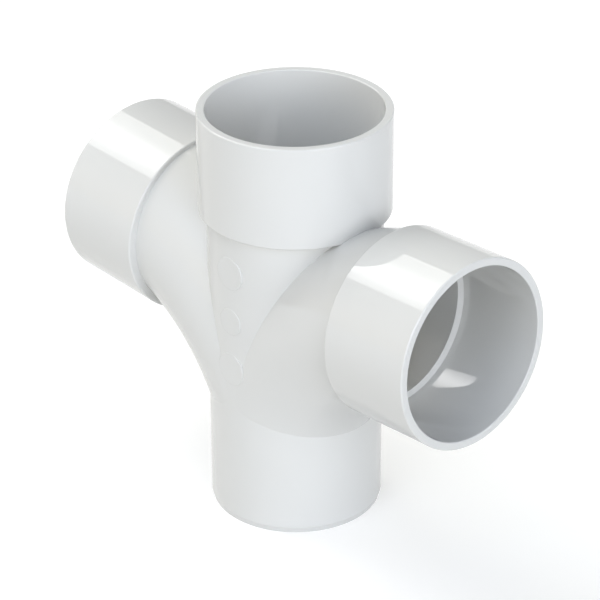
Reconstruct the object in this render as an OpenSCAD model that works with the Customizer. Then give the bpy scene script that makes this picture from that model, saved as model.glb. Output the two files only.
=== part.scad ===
// Double swept branch: a drain pipe cross moulded in one piece, for solvent-welded pipe.
// The upright has a socket at the top and a plain spigot at the bottom. Two opposite
// branches leave it through swept bends and end in sockets that tilt a little upwards.
// Millimetres. The origin is the centre of the spigot's end face, +Z up the upright,
// +X along the right branch.

/* [Pipe] */
// Outside diameter of the pipes that are joined, and of the spigot
pipe_d = 110; // [106:1:114]
// Wall thickness of the upright and the bends
wall = 5; // [3.6:0.1:6]
// How much wider the upright's radius is at the top socket than at the spigot
body_draft = 0.1; // [0.05:0.05:0.4]

/* [Sockets] */
// Gap on the diameter between a pipe and the bore of its socket
socket_gap = 0.3; // [0.2:0.05:0.6]
// Wall thickness of a socket
socket_wall = 5.2; // [4.8:0.1:6.5]
// Depth of a socket, from its mouth to the stop
socket_depth = 62; // [56:1:66]
// Thickness of a branch socket's floor, between the stop and the back shoulder
branch_floor = 3.3; // [2.8:0.1:4.5]
// Thickness of the top socket's floor, between the stop and the lower shoulder
top_floor = 4.7; // [3:0.1:6]
// Rounding of the outer edge of a mouth
mouth_round = 1; // [0.4:0.1:1.6]
// Bevel of the inner edge of a mouth
mouth_bevel = 0.5; // [0.2:0.1:1]
// Rounding of the outer edge of a shoulder
shoulder_round = 1.2; // [0.5:0.1:2]

/* [Layout] */
// Height of the point where the axes cross, above the spigot's end
cross_h = 157; // [150:1:175]
// Height of the top mouth above the crossing
top_len = 115; // [114:1:117]
// Distance of a branch mouth from the crossing, along the branch's axis
branch_len = 155; // [150:1:162]
// Angle by which each branch tilts up from the horizontal
branch_tilt = 2.5; // [1:0.5:4]

/* [Bends] */
// Radius of a bend's centre line
bend_r = 156; // [148:1:166]
// How far below the crossing the bend's centre line meets the upright's axis
bend_drop = 75; // [70:1:80]
// How far behind the shoulder the bend's centre line meets the branch's axis
bend_set_back = 3.6; // [2:0.1:6]

/* [Spigot end] */
// Height of the lead-in bevel
lead_h = 4; // [2:0.5:8]
// Angle of the lead-in bevel
lead_angle = 15; // [10:1:25]

/* [Pads] */
// Diameter of the upper and the lower round pad on the front
pad_d = 22; // [16:1:26]
// Diameter of the middle pad
small_pad_d = 18; // [12:1:22]
// Spacing of the pads
pad_pitch = 33.6; // [28:0.2:36]
// Height of the middle pad's centre below the crossing
pad_drop = 13; // [9:1:15]
// How far a pad's face stands in front of the upright
pad_stand = 0.1; // [0.1:0.1:1]
// Rounding of a pad's edge
pad_round = 0.4; // [0.2:0.1:0.8]

/* [Hidden] */
// Facets of a full turn
$fn = 180;
// Radii of the spigot, the upright at the top socket, the waterway, and a socket in and out
pipe_r = pipe_d / 2;
body_r = pipe_r + body_draft;
bore_r = pipe_r - wall;
socket_bore_r = (pipe_d + socket_gap) / 2;
socket_r = socket_bore_r + socket_wall;
// Height of the top mouth and of the top socket's stop and lower shoulder
top_z = cross_h + top_len;
top_stop_z = top_z - socket_depth;
top_shoulder_z = top_stop_z - top_floor;
// Distances along a branch's axis, from the crossing to its stop and its back shoulder
branch_stop = branch_len - socket_depth;
branch_shoulder = branch_stop - branch_floor;
// The straight wall of the spigot is as long as a socket is deep
spigot_h = lead_h + socket_depth;
// The bend's centre line is an arc in the XZ plane, measured here from the crossing. It
// meets the upright's axis at its foot and the branch's axis at its other end.
bend_foot = [0, -bend_drop];
bend_end = (branch_shoulder - bend_set_back) * [cos(branch_tilt), sin(branch_tilt)];
bend_chord = bend_end - bend_foot;
// Distance of the arc's centre from the chord, the centre itself, and the slope of the
// line from the centre to the foot
bend_sag = sqrt(bend_r ^ 2 - norm(bend_chord) ^ 2 / 4);
bend_inward = [bend_chord[1], -bend_chord[0]] / norm(bend_chord);
bend_centre = (bend_foot + bend_end) / 2 + bend_sag * bend_inward;
foot_angle = atan2(bend_foot[1] - bend_centre[1], bend_centre[0]);
// The bends are a little slimmer than the upright, so that their sides end inside it
bend_slim = 0.1;
// A cut that runs past an open end runs past it by this much
past = 1;
// Steps in which a small edge is rounded
round_steps = 5;
// Edge of a block that is larger than the whole fitting
block = 600;

// Points of a quarter circle of radius r about the point c, from angle a on
function quarter(c, r, a) =
    [for (i = [0 : round_steps]) c + r * [cos(a + 90 * i / round_steps), sin(a + 90 * i / round_steps)]];

// The places of the two branches, each with its own Z axis along the branch
module at_branch(side) {
    mirror([side < 0 ? 1 : 0, 0, 0])
        translate([0, 0, cross_h])
            rotate([0, 90 - branch_tilt, 0])
                children();
}

// Outside of a socket of the given length: rounded at the shoulder, z = 0, and at the mouth
module socket_outside(length) {
    rotate_extrude()
        polygon(concat(
            [[0, 0]],
            quarter([socket_r - shoulder_round, shoulder_round], shoulder_round, -90),
            quarter([socket_r - mouth_round, length - mouth_round], mouth_round, 0),
            [[0, length]]
        ));
}

// Bore of a socket, from the stop at z = 0 to past the mouth, with the bevel at the mouth
module socket_bore() {
    cylinder(h = socket_depth + past, r = socket_bore_r);
    translate([0, 0, socket_depth - mouth_bevel])
        cylinder(h = mouth_bevel + past, r1 = socket_bore_r, r2 = socket_bore_r + mouth_bevel + past);
}

// Tube of radius r, swept from the upright's axis to the given distance along the branch
module bend(side, r, reach) {
    intersection() {
        mirror([side < 0 ? 1 : 0, 0, 0])
            translate([bend_centre[0], 0, cross_h + bend_centre[1]])
                rotate([90, 0, 0])
                    rotate_extrude(start = 90, angle = 90 - foot_angle)
                        translate([bend_r, 0])
                            circle(r = r);
        at_branch(side)
            translate([-block / 2, -block / 2, reach - block])
                cube(block);
    }
}

// The upright: the spigot with its lead-in bevel and straight wall, then the drafted body
module upright() {
    lead = lead_h * tan(lead_angle);
    rotate_extrude()
        polygon([
            [0, 0],
            [pipe_r - lead, 0],
            [pipe_r, lead_h],
            [pipe_r, spigot_h],
            [body_r, top_shoulder_z + top_floor / 2],
            [0, top_shoulder_z + top_floor / 2]
        ]);
}

// The socket at the top of the upright
module top_socket() {
    translate([0, 0, top_shoulder_z])
        socket_outside(socket_depth + top_floor);
}

// A branch: its socket and the swept bend that joins it to the upright
module branch(side) {
    at_branch(side)
        translate([0, 0, branch_shoulder])
            socket_outside(socket_depth + branch_floor);
    bend(side, pipe_r - bend_slim, branch_stop - branch_floor / 2);
}

// A flat round pad of radius r, from the middle of the upright's wall to the pad's face. Its
// rounded edge stands free at the sides and dies away into the upright above and below.
module pad(r) {
    height = wall / 2 + body_draft + pad_stand;
    rotate_extrude()
        polygon(concat(
            [[0, 0], [r, 0]],
            quarter([r - pad_round, height - pad_round], pad_round, 0),
            [[0, height]]
        ));
}

// Three pads one above another on the front of the upright
module pads() {
    for (i = [-1 : 1])
        translate([0, -bore_r - wall / 2, cross_h - pad_drop + i * pad_pitch])
            rotate([90, 0, 0])
                pad((i == 0 ? small_pad_d : pad_d) / 2);
}

// The waterway of the upright, with the top socket's bore
module upright_bore() {
    translate([0, 0, -past])
        cylinder(h = top_stop_z + 2 * past, r = bore_r);
    translate([0, 0, top_stop_z])
        socket_bore();
}

// The waterway of a branch, with its socket's bore
module branch_bore(side) {
    at_branch(side)
        translate([0, 0, branch_stop])
            socket_bore();
    bend(side, bore_r - bend_slim, branch_stop + past);
}

// The whole fitting, one moulded piece
module cross_body() {
    color("white")
        difference() {
            union() {
                upright();
                top_socket();
                branch(-1);
                branch(1);
                pads();
            }
            upright_bore();
            branch_bore(-1);
            branch_bore(1);
        }
}

cross_body();
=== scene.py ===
import math

import bmesh
import bpy
import numpy as np
from mathutils import Matrix, Vector


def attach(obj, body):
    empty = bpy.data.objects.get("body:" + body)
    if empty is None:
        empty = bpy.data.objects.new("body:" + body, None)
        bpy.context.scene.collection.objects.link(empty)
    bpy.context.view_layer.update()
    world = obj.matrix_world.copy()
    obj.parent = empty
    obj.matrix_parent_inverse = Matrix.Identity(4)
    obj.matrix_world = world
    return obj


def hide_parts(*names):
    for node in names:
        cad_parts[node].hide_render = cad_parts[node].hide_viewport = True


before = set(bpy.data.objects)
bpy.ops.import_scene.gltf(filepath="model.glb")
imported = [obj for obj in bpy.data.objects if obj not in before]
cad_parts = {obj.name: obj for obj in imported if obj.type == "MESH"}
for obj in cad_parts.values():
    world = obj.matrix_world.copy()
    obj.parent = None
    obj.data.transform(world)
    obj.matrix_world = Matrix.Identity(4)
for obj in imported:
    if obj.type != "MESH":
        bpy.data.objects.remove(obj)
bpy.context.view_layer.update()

# A drain pipe cross, moulded in one piece in white PVC-U. The upright has a socket at the
# top and a plain spigot at the bottom, and two opposite branches leave it through swept
# bends. Lengths are in millimetres here and become metres in the meshes.
MM = 0.001

# Sizes of the fitting, as its construction has them
PIPE_R = 55.0
BODY_R = 55.1
WALL = 5.0
SOCKET_BORE_R = 55.15
SOCKET_R = 60.35
SOCKET_DEPTH = 62.0
BRANCH_FLOOR = 3.3
TOP_FLOOR = 4.7
MOUTH_ROUND = 1.0
MOUTH_BEVEL = 0.5
SHOULDER_ROUND = 1.2
CROSS_H = 157.0
TOP_LEN = 115.0
BRANCH_LEN = 155.0
BRANCH_TILT = 2.5
BEND_R = 156.0
BEND_DROP = 75.0
BEND_SET_BACK = 3.6
BEND_SLIM = 0.1
LEAD_H = 4.0
LEAD_ANGLE = 15.0
PAD_D = 22.0
SMALL_PAD_D = 18.0
PAD_PITCH = 33.6
PAD_DROP = 13.0
PAD_STAND = 0.1
PAD_ROUND = 0.4

# Facets round a tube, rings along a bend, and steps in a small rounding
AROUND = 256
ALONG = 56
ROUND_STEPS = 6
# How far a cut runs past an open end
PAST = 1.0
# Points of a solid that are closer than this become one, and so do points closer than the second
# value where the solids cross
SAME_POINT = 1e-4
SAME_CROSSING = 0.003
# A point this near to the plane that cuts a bend counts as on it
ON_CUT = 1e-5

# Heights and distances that follow from the sizes
TOP_Z = CROSS_H + TOP_LEN
TOP_STOP_Z = TOP_Z - SOCKET_DEPTH
TOP_SHOULDER_Z = TOP_STOP_Z - TOP_FLOOR
BRANCH_STOP = BRANCH_LEN - SOCKET_DEPTH
BRANCH_SHOULDER = BRANCH_STOP - BRANCH_FLOOR
BORE_R = PIPE_R - WALL
SPIGOT_H = LEAD_H + SOCKET_DEPTH
PAD_H = WALL / 2 + BODY_R - PIPE_R + PAD_STAND


def bend_arc():
    """Centre of the right bend's arc from the crossing, as (x, z), and the slope of the line from
    that centre to the arc's foot"""
    tilt = math.radians(BRANCH_TILT)
    foot = Vector((0, -BEND_DROP))
    end = (BRANCH_SHOULDER - BEND_SET_BACK) * Vector((math.cos(tilt), math.sin(tilt)))
    chord = end - foot
    inward = Vector((chord.y, -chord.x)).normalized()
    centre = (foot + end) / 2 + math.sqrt(BEND_R ** 2 - chord.length ** 2 / 4) * inward
    return centre, math.atan2(foot.y - centre.y, centre.x)


BEND_CENTRE, FOOT_ANGLE = bend_arc()


def along_branch(side, distance=0.0):
    """The place of a point on a branch's axis, with the Z axis pointing out along the branch"""
    turn = Matrix.Rotation(side * math.radians(90 - BRANCH_TILT), 4, "Y")
    return Matrix.Translation((0, 0, CROSS_H)) @ turn @ Matrix.Translation((0, 0, distance))


def on_front(height):
    """The place of a pad's foot inside the front wall, with the Z axis pointing out to the front"""
    return Matrix.Translation((0, WALL / 2 - PIPE_R, height)) @ Matrix.Rotation(math.pi / 2, 4, "X")


PADS = [(CROSS_H - PAD_DROP + i * PAD_PITCH, (PAD_D if i else SMALL_PAD_D) / 2) for i in (-1, 0, 1)]


def socket_roundings(shoulder, mouth):
    """A socket's two roundings, each as its centre's radius and height and its own radius"""
    return ((SOCKET_R - SHOULDER_ROUND, shoulder + SHOULDER_ROUND, SHOULDER_ROUND),
            (SOCKET_R - MOUTH_ROUND, mouth - MOUTH_ROUND, MOUTH_ROUND))


# The surfaces that are turned about an axis: the place of each axis, and the roundings along it
TURNED = {"upright": (Matrix(), socket_roundings(TOP_SHOULDER_Z, TOP_Z)),
          "left_branch": (along_branch(-1), socket_roundings(BRANCH_SHOULDER, BRANCH_LEN)),
          "right_branch": (along_branch(1), socket_roundings(BRANCH_SHOULDER, BRANCH_LEN))}
for number, (pad_height, pad_radius) in enumerate(PADS, 1):
    TURNED["pad_%d" % number] = (on_front(pad_height),
                                 ((pad_radius - PAD_ROUND, PAD_H - PAD_ROUND, PAD_ROUND),))


def rounded(rounding, start):
    """Points of a quarter circle, from the angle start on"""
    centre_r, centre_z, radius = rounding
    angles = [math.radians(start + 90 * i / ROUND_STEPS) for i in range(ROUND_STEPS + 1)]
    return [(centre_r + radius * math.cos(a), centre_z + radius * math.sin(a)) for a in angles]


def solid_object(name, bm, surface):
    """A closed mesh object in metres. Its one material keeps the name of the surface it makes"""
    bmesh.ops.remove_doubles(bm, verts=bm.verts, dist=SAME_POINT)
    bmesh.ops.recalc_face_normals(bm, faces=bm.faces)
    bm.transform(Matrix.Scale(MM, 4))
    mesh = bpy.data.meshes.new(name)
    bm.to_mesh(mesh)
    bm.free()
    mesh.materials.append(bpy.data.materials.get(surface) or bpy.data.materials.new(surface))
    made = bpy.data.objects.new(name, mesh)
    bpy.context.scene.collection.objects.link(made)
    return made


def turned(name, surface, profile):
    """A solid of revolution: a profile of (radius, height) points, turned about its surface's
    axis"""
    bm = bmesh.new()
    points = [bm.verts.new((r, 0, z)) for r, z in profile]
    edges = [bm.edges.new(pair) for pair in zip(points, points[1:])]
    bmesh.ops.spin(bm, geom=points + edges, cent=(0, 0, 0), axis=(0, 0, 1),
                   angle=math.tau, steps=AROUND, use_merge=True)
    bm.transform(TURNED[surface][0])
    return solid_object(name, bm, surface)


def swept(name, side, radius, reach):
    """A bend: a circle swept from its crest down to the upright's axis, and cut square to the
    branch at the distance reach along it"""
    bm = bmesh.new()
    centre = Vector((BEND_CENTRE.x, 0, CROSS_H + BEND_CENTRE.y))
    crest = centre + Vector((0, 0, BEND_R))
    start = Matrix.Translation(crest) @ Matrix.Rotation(math.pi / 2, 4, "Y")
    circle = bmesh.ops.create_circle(bm, radius=radius, segments=AROUND, matrix=start)
    bmesh.ops.spin(bm, geom=circle["verts"] + list(bm.edges), cent=centre, axis=(0, 1, 0),
                   angle=FOOT_ANGLE - math.pi / 2, steps=ALONG)
    out = along_branch(1).to_3x3() @ Vector((0, 0, 1))
    bmesh.ops.bisect_plane(bm, geom=bm.verts[:] + bm.edges[:] + bm.faces[:], dist=ON_CUT,
                           plane_co=along_branch(1, reach).translation, plane_no=out,
                           clear_outer=True)
    bmesh.ops.holes_fill(bm, edges=bm.edges, sides=0)
    if side < 0:
        bm.transform(Matrix.Scale(-1, 4, (1, 0, 0)))
    return solid_object(name, bm, "left_bend" if side < 0 else "right_bend")


def socket_outside(name, surface, shoulder, mouth):
    """Outside of a socket, between the heights of its shoulder and its mouth on its axis"""
    low, high = TURNED[surface][1]
    profile = [(0, shoulder)] + rounded(low, -90) + rounded(high, 0) + [(0, mouth)]
    return turned(name, surface, profile)


def socket_bore(name, surface, stop):
    """Bore of a socket from its stop to past its mouth, with the bevel at the mouth"""
    mouth = stop + SOCKET_DEPTH
    widest = SOCKET_BORE_R + MOUTH_BEVEL + PAST
    return turned(name, surface, [(0, stop), (SOCKET_BORE_R, stop),
                                  (SOCKET_BORE_R, mouth - MOUTH_BEVEL),
                                  (widest, mouth + PAST), (0, mouth + PAST)])


def outer_solids():
    """The solids that make the outside: the upright, the sockets, the bends and the pads"""
    lead = LEAD_H * math.tan(math.radians(LEAD_ANGLE))
    top = TOP_SHOULDER_Z + TOP_FLOOR / 2
    made = [turned("upright", "upright", [(0, 0), (PIPE_R - lead, 0), (PIPE_R, LEAD_H),
                                          (PIPE_R, SPIGOT_H), (BODY_R, top), (0, top)])]
    made.append(socket_outside("top_socket", "upright", TOP_SHOULDER_Z, TOP_Z))
    for side, word in ((-1, "left"), (1, "right")):
        made.append(socket_outside(word + "_socket", word + "_branch", BRANCH_SHOULDER, BRANCH_LEN))
        made.append(swept(word + "_bend", side, PIPE_R - BEND_SLIM, BRANCH_STOP - BRANCH_FLOOR / 2))
    for number, (_, radius) in enumerate(PADS, 1):
        surface = "pad_%d" % number
        edge = rounded(TURNED[surface][1][0], 0)
        made.append(turned(surface, surface, [(0, 0), (radius, 0)] + edge + [(0, PAD_H)]))
    return made


def hollow_solids():
    """The solids that are cut away: the waterway and the bores of the sockets"""
    top = TOP_STOP_Z + PAST
    made = [turned("upright_bore", "upright", [(0, -PAST), (BORE_R, -PAST), (BORE_R, top),
                                               (0, top)])]
    made.append(socket_bore("top_bore", "upright", TOP_STOP_Z))
    for side, word in ((-1, "left"), (1, "right")):
        made.append(socket_bore(word + "_bore", word + "_branch", BRANCH_STOP))
        made.append(swept(word + "_bend_bore", side, BORE_R - BEND_SLIM, BRANCH_STOP + PAST))
    return made


def joined(solids, cut):
    """The union of the solids less those that are cut away, as one mesh"""
    body = solids[0]
    for operation, tools in (("UNION", solids[1:]), ("DIFFERENCE", cut)):
        group = bpy.data.collections.new(operation.lower())
        for tool in tools:
            group.objects.link(tool)
        modifier = body.modifiers.new(operation.lower(), "BOOLEAN")
        modifier.operation = operation
        modifier.operand_type = "COLLECTION"
        modifier.collection = group
        modifier.solver = "EXACT"
        modifier.material_mode = "TRANSFER"
    result = body.evaluated_get(bpy.context.evaluated_depsgraph_get())
    mesh = bpy.data.meshes.new_from_object(result)
    for used in solids + cut:
        bpy.data.objects.remove(used)
    # Where the solids cross, points a few thousandths of a millimetre apart become one
    bm = bmesh.new()
    bm.from_mesh(mesh)
    bmesh.ops.remove_doubles(bm, verts=bm.verts, dist=SAME_CROSSING * MM)
    bmesh.ops.dissolve_degenerate(bm, edges=bm.edges, dist=SAME_CROSSING * MM)
    bm.to_mesh(mesh)
    bm.free()
    return mesh


def per_corner(mesh, values):
    """Repeats one value of each face for each of its corners"""
    size = np.empty(len(mesh.polygons), np.int32)
    mesh.polygons.foreach_get("loop_total", size)
    return np.repeat(values, size, axis=0)


def smooth_normals(mesh):
    """Shades each corner as the true round form that its face belongs to, so creases stay crisp"""
    mesh.shade_smooth()
    kind = np.empty(len(mesh.polygons), np.int32)
    mesh.polygons.foreach_get("material_index", kind)
    kind = per_corner(mesh, kind)
    normal = np.empty(len(mesh.polygons) * 3, np.float32)
    mesh.polygons.foreach_get("normal", normal)
    normal = per_corner(mesh, normal.reshape(-1, 3).astype(float))
    vertex = np.empty(len(mesh.loops), np.int32)
    mesh.loops.foreach_get("vertex_index", vertex)
    place = np.empty(len(mesh.vertices) * 3, np.float32)
    mesh.vertices.foreach_get("co", place)
    place = place.reshape(-1, 3)[vertex].astype(float) / MM
    for index, material in enumerate(mesh.materials):
        here = kind == index
        if material.name in TURNED:
            normal[here] = turned_normals(TURNED[material.name], place[here], normal[here])
        else:
            side = -1 if material.name == "left_bend" else 1
            normal[here] = bend_normals(side, place[here], normal[here])
    mesh.normals_split_custom_set(normal.tolist())


# A corner is on a rounding where it lies on that rounding's circle, to within this share of its
# radius, and where the part of its face's normal along the axis is between the next two values
CIRCLE_SLACK = 0.02
LEAST_RISE = 0.05
MOST_RISE = 0.998
# Keeps a point on the axis from a division by zero
TINY = 1e-9


def turned_normals(surface, place, normal):
    """Normals of a surface that is turned about an axis, from its places and its faces' normals"""
    matrix, roundings = surface
    axis = np.array(matrix.to_3x3() @ Vector((0, 0, 1)))
    arm = place - np.array(matrix.translation)
    height = arm @ axis
    out = arm - np.outer(height, axis)
    radius = np.linalg.norm(out, axis=1)
    out /= np.maximum(radius, TINY)[:, None]
    rise = normal @ axis
    side = np.sign(np.sum(normal * out, axis=1)) * np.sqrt(np.maximum(1 - rise ** 2, 0))
    true = out * side[:, None] + np.outer(rise, axis)
    for centre_r, centre_z, rounding in roundings:
        from_r = (radius - centre_r) / rounding
        from_z = (height - centre_z) / rounding
        on_circle = np.abs(np.hypot(from_r, from_z) - 1) < CIRCLE_SLACK
        bent = on_circle & (np.abs(rise) > LEAST_RISE) & (np.abs(rise) < MOST_RISE)
        true[bent] = out[bent] * from_r[bent][:, None] + np.outer(from_z[bent], axis)
    return true


# A face is on a bend's round surface, and not on a flat end, where it looks straight out from the
# centre line or straight in to it, to within this many degrees
BEND_SLACK = 12


def bend_normals(side, place, normal):
    """Normals of a bend, whose round surface is part of a ring's. Its flat ends keep theirs"""
    hub = np.array((side * BEND_CENTRE.x, 0, CROSS_H + BEND_CENTRE.y))
    spoke = (place - hub) * (1, 0, 1)
    out = place - hub - spoke * (BEND_R / np.linalg.norm(spoke, axis=1))[:, None]
    out /= np.linalg.norm(out, axis=1)[:, None]
    facing = np.sum(normal * out, axis=1)
    curved = np.abs(facing) > math.cos(math.radians(BEND_SLACK))
    true = normal.copy()
    true[curved] = out[curved] * np.sign(facing[curved])[:, None]
    return true


def linear(hex_colour):
    """An sRGB colour such as #F0F0EE, as the linear red, green, blue and alpha of a node"""
    parts = [int(hex_colour[i:i + 2], 16) / 255 for i in (1, 3, 5)]
    # The sRGB curve, straight near black
    parts = [p / 12.92 if p <= 0.04045 else ((p + 0.055) / 1.055) ** 2.4 for p in parts]
    return tuple(parts) + (1.0,)


def node(tree, kind, settings=None, **inputs):
    """Adds a node. Settings are its own options. An input is given by its name, or as i and its
    number, and gets a value or another node's output"""
    made = tree.nodes.new("ShaderNode" + kind)
    for key, value in (settings or {}).items():
        setattr(made, key, value)
    for key, value in inputs.items():
        socket = made.inputs[int(key[1:]) if key[1:].isdigit() else key.replace("_", " ")]
        if isinstance(value, bpy.types.NodeSocket):
            tree.links.new(value, socket)
        else:
            socket.default_value = value
    return made


def pvc():
    """White PVC-U, injection moulded in a polished steel tool: opaque and glossy, with a faint
    unevenness in its shine where the melt cooled against the tool"""
    material = bpy.data.materials.new("moulded_pvc_u")
    material.use_nodes = True
    tree = material.node_tree
    shader = tree.nodes["Principled BSDF"]
    shader.inputs["IOR"].default_value = 1.53
    place = node(tree, "TexCoord").outputs["Object"]
    # The pigment is spread evenly but for clouds some 40 mm across
    cloud = node(tree, "TexNoise", Vector=place, Scale=1 / (40 * MM), Detail=2.0)
    # A colour Mix has its two colours at inputs 6 and 7, and gives the blend at output 2
    tint = node(tree, "Mix", {"data_type": "RGBA"}, i0=cloud.outputs["Fac"],
                i6=linear("#DBDBD9"), i7=linear("#D8D8D6"))
    tree.links.new(tint.outputs[2], shader.inputs["Base Color"])
    # Flow of the melt, some 6 mm across, makes the polish a little uneven
    flow = node(tree, "TexNoise", Vector=place, Scale=1 / (6 * MM), Detail=3.0)
    polish = node(tree, "MapRange", Value=flow.outputs["Fac"], To_Min=0.02, To_Max=0.04)
    tree.links.new(polish.outputs["Result"], shader.inputs["Roughness"])
    # Shrinkage leaves the walls wavy by a few thousandths of a millimetre
    wave = node(tree, "TexNoise", Vector=place, Scale=1 / (9 * MM), Detail=1.0)
    bump = node(tree, "Bump", Strength=1.0, Distance=0.004 * MM, Height=wave.outputs["Fac"])
    tree.links.new(bump.outputs["Normal"], shader.inputs["Normal"])
    return material


def body():
    """The fitting itself, one piece that stands for the construction's node"""
    mesh = joined(outer_solids(), hollow_solids())
    smooth_normals(mesh)
    mesh.materials.clear()
    mesh.materials.append(pvc())
    mesh.name = "fitting"
    made = bpy.data.objects.new("fitting", mesh)
    bpy.context.scene.collection.objects.link(made)
    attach(made, "root")
    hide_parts("cross_body")


def seen(tree):
    """1 for the rays that show a surface, those of the camera, of gloss and through glass, or 0"""
    rays = node(tree, "LightPath").outputs
    shown = node(tree, "Math", {"operation": "MAXIMUM"}, i0=rays["Is Camera Ray"],
                 i1=rays["Is Glossy Ray"])
    return node(tree, "Math", {"operation": "MAXIMUM"}, i0=shown.outputs[0],
                i1=rays["Is Transmission Ray"]).outputs[0]


# Radius of the round floor in metres, and its number of sides
FLOOR_R = 8.0
FLOOR_SIDES = 64
# What the floor adds to its own light to show white
FLOOR_LIFT = 0.5


def floor():
    """A plain pale floor. It shows white, apart from the fitting's soft shadow"""
    bm = bmesh.new()
    bmesh.ops.create_circle(bm, cap_ends=True, radius=FLOOR_R, segments=FLOOR_SIDES)
    mesh = bpy.data.meshes.new("floor")
    bm.to_mesh(mesh)
    bm.free()
    material = bpy.data.materials.new("matt_painted_floor")
    material.use_nodes = True
    tree = material.node_tree
    shader = tree.nodes["Principled BSDF"]
    shader.inputs["Base Color"].default_value = linear("#CBCBCA")
    shader.inputs["Roughness"].default_value = 0.9
    shader.inputs["Specular IOR Level"].default_value = 0.0
    shader.inputs["Emission Color"].default_value = (1, 1, 1, 1)
    lift = node(tree, "Math", {"operation": "MULTIPLY"}, i0=seen(tree), i1=FLOOR_LIFT)
    tree.links.new(lift.outputs[0], shader.inputs["Emission Strength"])
    mesh.materials.append(material)
    made = bpy.data.objects.new("floor", mesh)
    bpy.context.scene.collection.objects.link(made)


def direction(azimuth, elevation):
    """The direction from the object at an azimuth, 0 to the front and 90 to the right, and at an
    elevation, both in degrees"""
    a, e = math.radians(azimuth), math.radians(elevation)
    return Vector((math.cos(e) * math.sin(a), -math.cos(e) * math.cos(a), math.sin(e)))


# How bright the room's pale walls show between its lights
ROOM = 0.4
# Soft lights round the room: azimuth, elevation and half width in degrees, strength, and colour.
# The last one is the bright middle of the softbox
SOFT_LIGHTS = ((80, 5, 18, 7.4, "#F5F9FF"),
               (90, 35, 18, 0.35, "#FFFFFF"),
               (5, 5, 18, 2.3, "#FFF6E1"),
               (10, 35, 18, 2.65, "#E1EDFF"),
               (-45, 5, 18, 0.65, "#FFEFD0"),
               (-120, 65, 18, 0.8, "#FFFBD0"),
               (-30, 65, 18, 0.5, "#FFECC8"),
               (60, 65, 18, 0.7, "#B8D4FF"),
               (-170, 12, 32, 0.6, "#FBFCFF"),
               (-78, 47, 8, 4.4, "#FFFFFF"))


def room():
    """The studio's room: soft lights of blurred outline on its pale walls"""
    world = bpy.data.worlds.new("studio")
    world.use_nodes = True
    tree = world.node_tree
    # A world's Generated coordinate is the direction that is looked in
    look = node(tree, "TexCoord").outputs["Generated"]
    light = node(tree, "VectorMath", {"operation": "SCALE"}, i0=(ROOM, ROOM, ROOM), i3=seen(tree))
    for azimuth, elevation, half_width, strength, colour in SOFT_LIGHTS:
        near = node(tree, "VectorMath", {"operation": "DOT_PRODUCT"}, i0=look,
                    i1=direction(azimuth, elevation))
        # The light falls to half at its half width
        fall = math.log(2) / (1 - math.cos(math.radians(half_width)))
        far = node(tree, "Math", {"operation": "MULTIPLY_ADD"}, i0=near.outputs["Value"],
                   i1=fall, i2=-fall)
        glow = node(tree, "Math", {"operation": "EXPONENT"}, i0=far.outputs[0])
        tone = Vector(linear(colour)[:3]) * strength
        light = node(tree, "VectorMath", {"operation": "MULTIPLY_ADD"}, i0=glow.outputs[0],
                     i1=tone, i2=light.outputs["Vector"])
    tree.links.new(light.outputs["Vector"], tree.nodes["Background"].inputs["Color"])
    bpy.context.scene.world = world


# The softbox: how bright it shows, the way that its long sides run, and the way out to its plane
SOFTBOX = 2.5
SOFTBOX_ALONG = (0.920, -0.287, 0.261)
SOFTBOX_OVER = (-0.320, -0.182, 0.929)
# Its distance in metres, its two ends along its long way in shares of that distance, and half of
# its width in degrees
SOFTBOX_DISTANCE = 8.0
NEAR_END = -0.1
FAR_END = -1.0
SOFTBOX_HALF = 22.95


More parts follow.
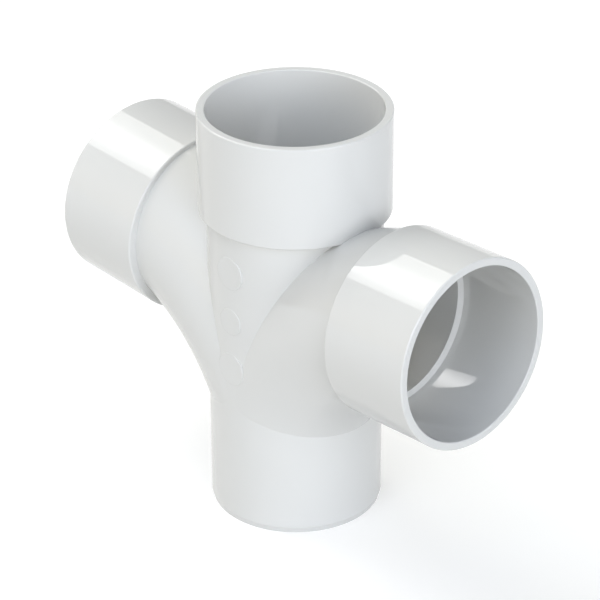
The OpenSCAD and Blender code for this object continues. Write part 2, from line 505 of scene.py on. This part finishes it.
def softbox():
    """A long overhead softbox at the upper left, whose straight edges show in the gloss. It hangs
    far off, so that both branches reflect it alike"""
    along = Vector(SOFTBOX_ALONG).normalized()
    over = Vector(SOFTBOX_OVER)
    over = (over - over.dot(along) * along).normalized()
    data = bpy.data.lights.new("softbox", "AREA")
    data.shape = "RECTANGLE"
    data.size = SOFTBOX_DISTANCE * (NEAR_END - FAR_END)
    data.size_y = 2 * SOFTBOX_DISTANCE * math.tan(math.radians(SOFTBOX_HALF))
    # Power of a lamp that shows at the given strength
    data.energy = SOFTBOX * math.pi * data.size * data.size_y
    made = bpy.data.objects.new("softbox", data)
    across = over.cross(along)
    matrix = Matrix((along, across, over)).transposed().to_4x4()
    middle = SOFTBOX_DISTANCE * (over + along * (NEAR_END + FAR_END) / 2)
    matrix.translation = middle + Vector((0, 0, CROSS_H * MM))
    made.matrix_world = matrix
    bpy.context.scene.collection.objects.link(made)


# The camera: its azimuth, elevation and roll in degrees
CAMERA_AZIMUTH = 47.226
CAMERA_ELEVATION = 28.742
CAMERA_ROLL = -0.212
# The point it looks at, by how far that is below the crossing of the axes and then to the
# camera's right, and the camera's distance from that point
AIM_BELOW = 18.267
AIM_RIGHT = 2.715
CAMERA_DISTANCE = 1788.487
# Focal length and width of the picture in pixels, and the width of the sensor in millimetres
FOCAL_LENGTH = 2846.28
PICTURE = 600
SENSOR = 36
# How far the camera sees, in metres
SIGHT = 50


def camera():
    """The camera at the photograph's viewing angle"""
    azimuth, roll = math.radians(CAMERA_AZIMUTH), math.radians(CAMERA_ROLL)
    level = Vector((math.cos(azimuth), math.sin(azimuth), 0))
    back = direction(CAMERA_AZIMUTH, CAMERA_ELEVATION)
    upward = back.cross(level)
    right = level * math.cos(roll) + upward * math.sin(roll)
    up = upward * math.cos(roll) - level * math.sin(roll)
    data = bpy.data.cameras.new("camera")
    made = bpy.data.objects.new("camera", data)
    bpy.context.scene.collection.objects.link(made)
    data.sensor_width = SENSOR
    data.lens = FOCAL_LENGTH / PICTURE * SENSOR
    data.clip_end = SIGHT
    aim = Vector((0, 0, CROSS_H - AIM_BELOW)) + right * AIM_RIGHT
    place = Matrix((right, up, back)).transposed().to_4x4()
    place.translation = (aim + back * CAMERA_DISTANCE) * MM
    made.matrix_world = place
    bpy.context.scene.camera = made


camera()
body()
floor()
room()
softbox()
bpy.context.scene.view_settings.view_transform = "Standard"
